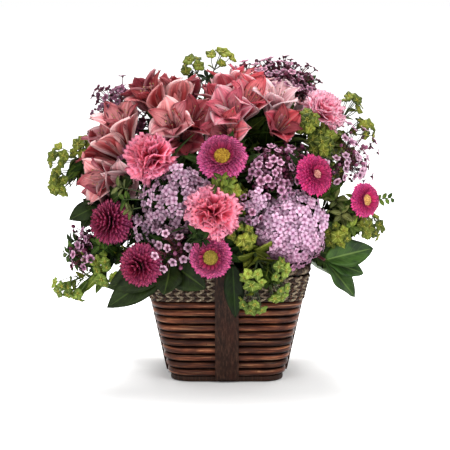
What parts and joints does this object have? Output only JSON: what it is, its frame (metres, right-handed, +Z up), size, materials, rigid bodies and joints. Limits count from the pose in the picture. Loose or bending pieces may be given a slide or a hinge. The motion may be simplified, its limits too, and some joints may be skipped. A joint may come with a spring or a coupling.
{
  "type": "flower basket arrangement",
  "caption": "Square tapered wicker basket filled with a rounded mound of cut asters, carnations, hydrangeas, alstroemerias, waxflower and leaves.",
  "frame": {"origin": "middle of the underside of the basket's base, on the surface that it stands on", "axes": "+Z up, -Y towards the front of the arrangement, +X to its right as the front is seen"},
  "size_m": [0.3743, 0.2902, 0.3612],
  "materials": {
    "rod": "stained and lightly varnished reddish-brown willow",
    "dark_wood": "dark brown stained wood, satin",
    "woven_band": "dry woven seagrass, matte",
    "liner": "thin black moulded plastic",
    "foam": "wet green floral foam, matte",
    "aster": "fresh hot pink petals with a yellow centre, soft",
    "carnation": "fresh coral pink ruffled petals, soft",
    "hydrangea": "fresh lavender florets, soft",
    "alstroemeria": "fresh dusty red petals with pale edges, satin",
    "waxflower": "fresh lilac florets with dark centres, satin",
    "bupleurum": "fresh yellow-green leaves, satin",
    "salal": "fresh dark green leaves, waxy"
  },
  "bodies": {
    "root": {"alstroemeria_back": "alstroemeria", "alstroemeria_left": "alstroemeria", "alstroemeria_right": "alstroemeria", "alstroemeria_top_centre": "alstroemeria", "alstroemeria_top_left": "alstroemeria", "aster_1": "aster", "aster_2": "aster", "aster_3": "aster", "aster_4": "aster", "aster_5": "aster", "aster_6": "aster", "aster_7": "aster", "aster_8": "aster", "basket_base": "dark_wood", "bupleurum_back": "bupleurum", "bupleurum_centre": "bupleurum", "bupleurum_left": "bupleurum", "bupleurum_left_low": "bupleurum", "bupleurum_right_low": "bupleurum", "bupleurum_right_top": "bupleurum", "bupleurum_spill": "bupleurum", "bupleurum_top": "bupleurum", "carnation_1": "carnation", "carnation_2": "carnation", "carnation_3": "carnation", "carnation_4": "carnation", "floral_foam": "foam", "hydrangea_1": "hydrangea", "hydrangea_2": "hydrangea", "hydrangea_3": "hydrangea", "liner": "liner", "rim_rope": "woven_band", "rod_01": "rod", "rod_02": "rod", "rod_03": "rod", "rod_04": "rod", "rod_05": "rod", "rod_06": "rod", "rod_07": "rod", "rod_08": "rod", "rod_09": "rod", "rod_10": "rod", "salal_back_left": "salal", "salal_back_right": "salal", "salal_left": "salal", "salal_low_centre": "salal", "salal_low_left": "salal", "salal_low_right": "salal", "slat_back": "dark_wood", "slat_front": "dark_wood", "slat_left": "dark_wood", "slat_right": "dark_wood", "waxflower_back": "waxflower", "waxflower_centre": "waxflower", "waxflower_low_centre": "waxflower", "waxflower_low_left": "waxflower", "waxflower_right": "waxflower", "waxflower_top": "waxflower", "waxflower_top_left": "waxflower", "woven_band": "woven_band"}
  },
  "joints": []
}
